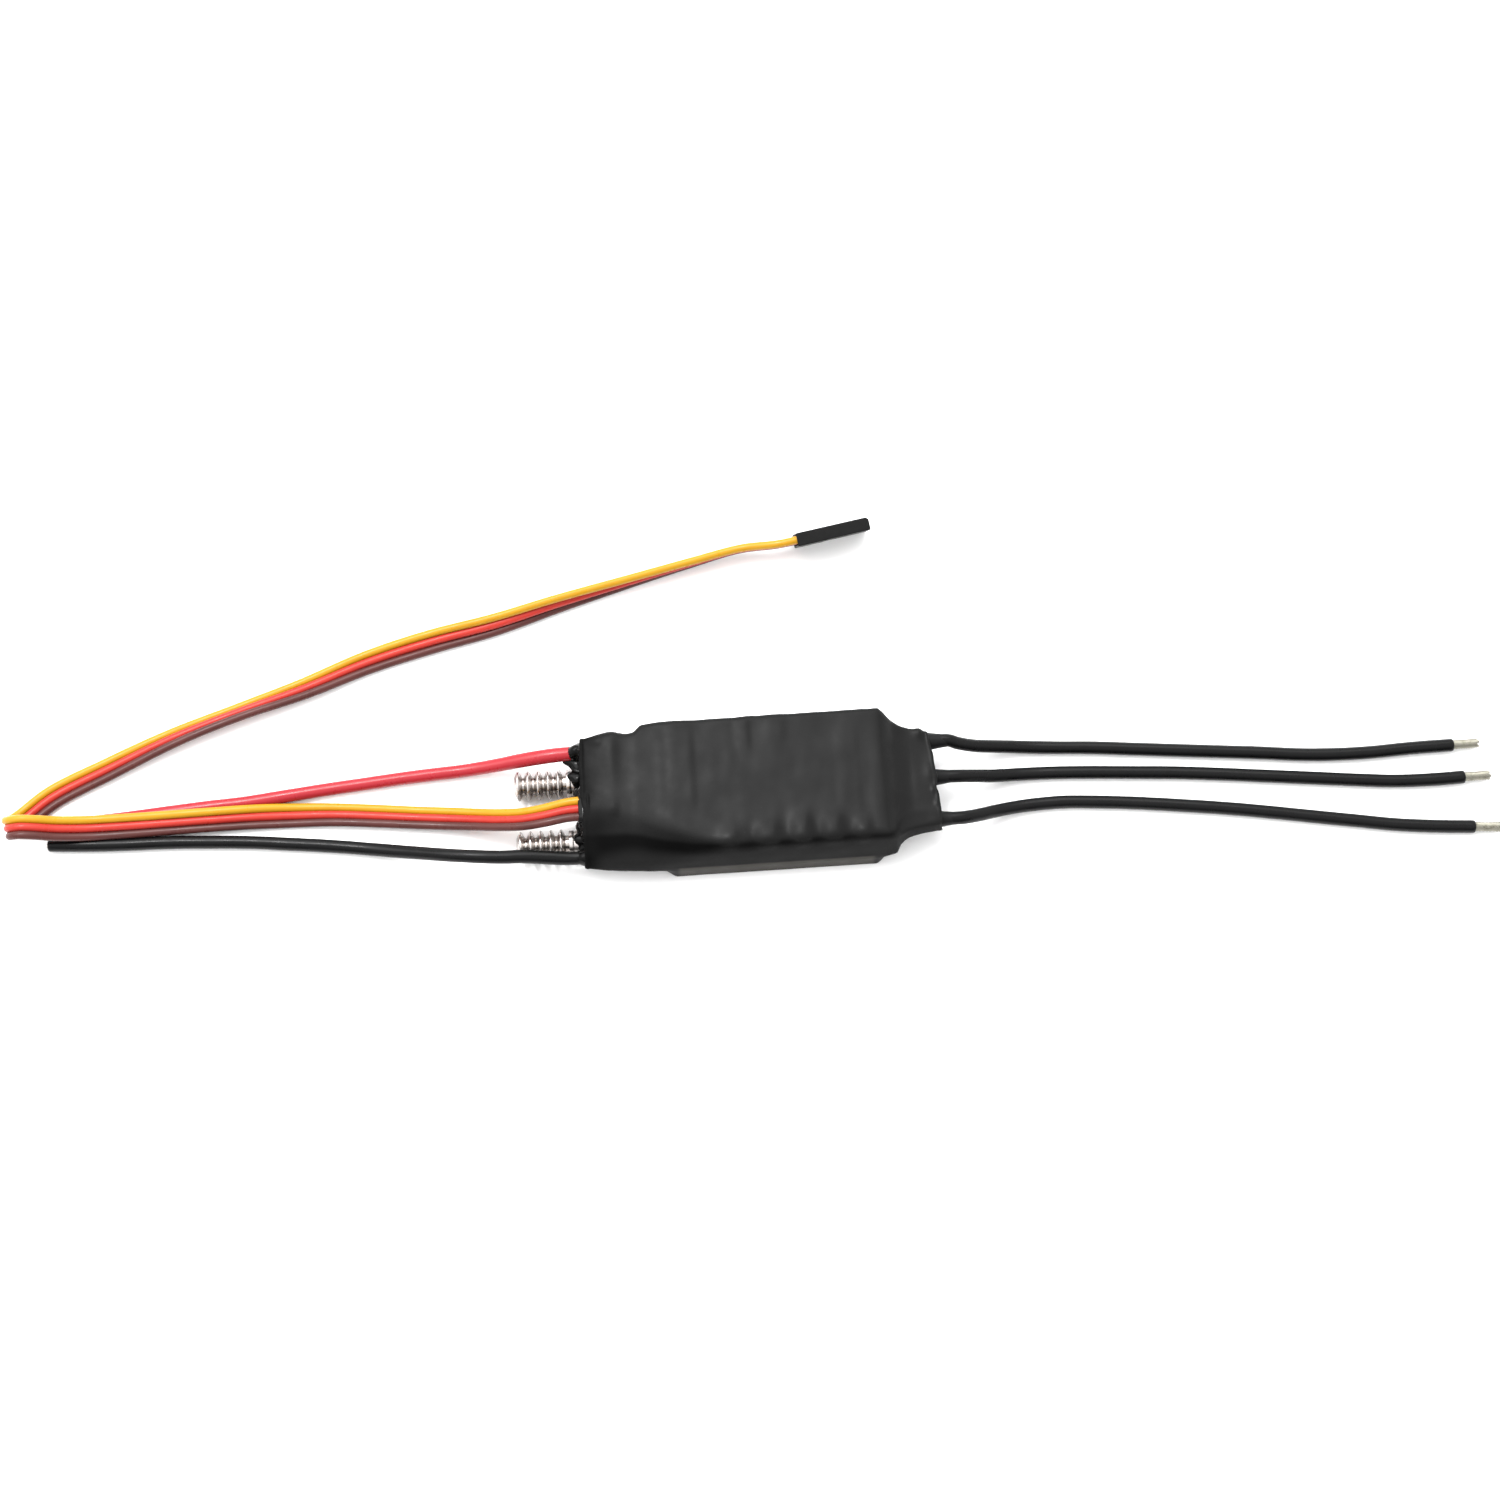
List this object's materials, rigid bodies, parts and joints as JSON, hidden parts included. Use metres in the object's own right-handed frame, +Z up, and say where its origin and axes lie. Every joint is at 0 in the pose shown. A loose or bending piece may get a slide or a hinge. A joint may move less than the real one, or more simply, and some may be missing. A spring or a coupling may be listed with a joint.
{
  "type": "electronic speed controller",
  "caption": "Water-cooled brushless motor speed controller in a black heat-shrink sleeve, with ribbed hose nipples, battery and motor leads and a servo ribbon with its plug.",
  "frame": {"origin": "under the middle of the body with its hose nipples, on the surface it lies on; the leads are left out of that middle", "axes": "+X from the nipples and battery leads to the motor leads, +Y to the rear, +Z up"},
  "size_m": [0.2732, 0.0695, 0.012],
  "materials": {
    "shrink_film": "black matte polyolefin heat-shrink film, stretched tight",
    "nipple_aluminium": "bright turned aluminium",
    "block_aluminium": "milled aluminium",
    "pad_silicone": "soft thermal pad",
    "board_laminate": "glass epoxy board with green solder mask",
    "chip_epoxy": "moulded epoxy chip package",
    "resistor_alloy": "resistor alloy strip",
    "tantalum_case": "moulded capacitor case",
    "ferrite": "sintered ferrite",
    "capacitor_ceramic": "fired ceramic chip",
    "header_plastic": "moulded header strip",
    "contact_gold": "gold-flashed brass",
    "resonator_can": "plated metal can",
    "solder": "reflowed solder",
    "glue_black": "glossy black hot-melt glue",
    "silicone_red": "satin red silicone insulation",
    "silicone_black": "satin black silicone insulation",
    "tinned_copper": "twisted copper strands dipped in solder",
    "pvc_yellow": "yellow PVC insulation",
    "pvc_red": "red PVC insulation",
    "pvc_brown": "brown PVC insulation",
    "plug_plastic": "black moulded nylon"
  },
  "bodies": {
    "root": {"heat_shrink_sleeve": "shrink_film", "cooling_block": "block_aluminium", "channel_plug": "block_aluminium", "water_nipple_inlet": "nipple_aluminium", "water_nipple_outlet": "nipple_aluminium", "thermal_pad": "pad_silicone", "power_board": "board_laminate", "mosfets": "chip_epoxy", "current_shunt": "resistor_alloy", "bulk_capacitors": "tantalum_case", "bec_regulators": "chip_epoxy", "bec_inductor": "ferrite", "ceramic_capacitors": "capacitor_ceramic", "board_link_headers": "header_plastic", "board_link_pins": "contact_gold", "control_board": "board_laminate", "microcontroller": "chip_epoxy", "gate_drivers": "chip_epoxy", "clock_resonator": "resonator_can", "chip_resistors": "chip_epoxy", "solder_joints": "solder", "input_end_potting": "glue_black", "output_end_potting": "glue_black", "power_wire_positive": "silicone_red", "power_wire_negative": "silicone_black", "motor_wire_a": "silicone_black", "motor_wire_b": "silicone_black", "motor_wire_c": "silicone_black", "glue_collar_a": "glue_black", "glue_collar_b": "glue_black", "glue_collar_c": "glue_black", "tinned_end_a": "tinned_copper", "tinned_end_b": "tinned_copper", "tinned_end_c": "tinned_copper", "servo_wire_signal": "pvc_yellow", "servo_wire_positive": "pvc_red", "servo_wire_negative": "pvc_brown", "servo_plug_housing": "plug_plastic", "servo_plug_contacts": "contact_gold"}
  },
  "joints": []
}
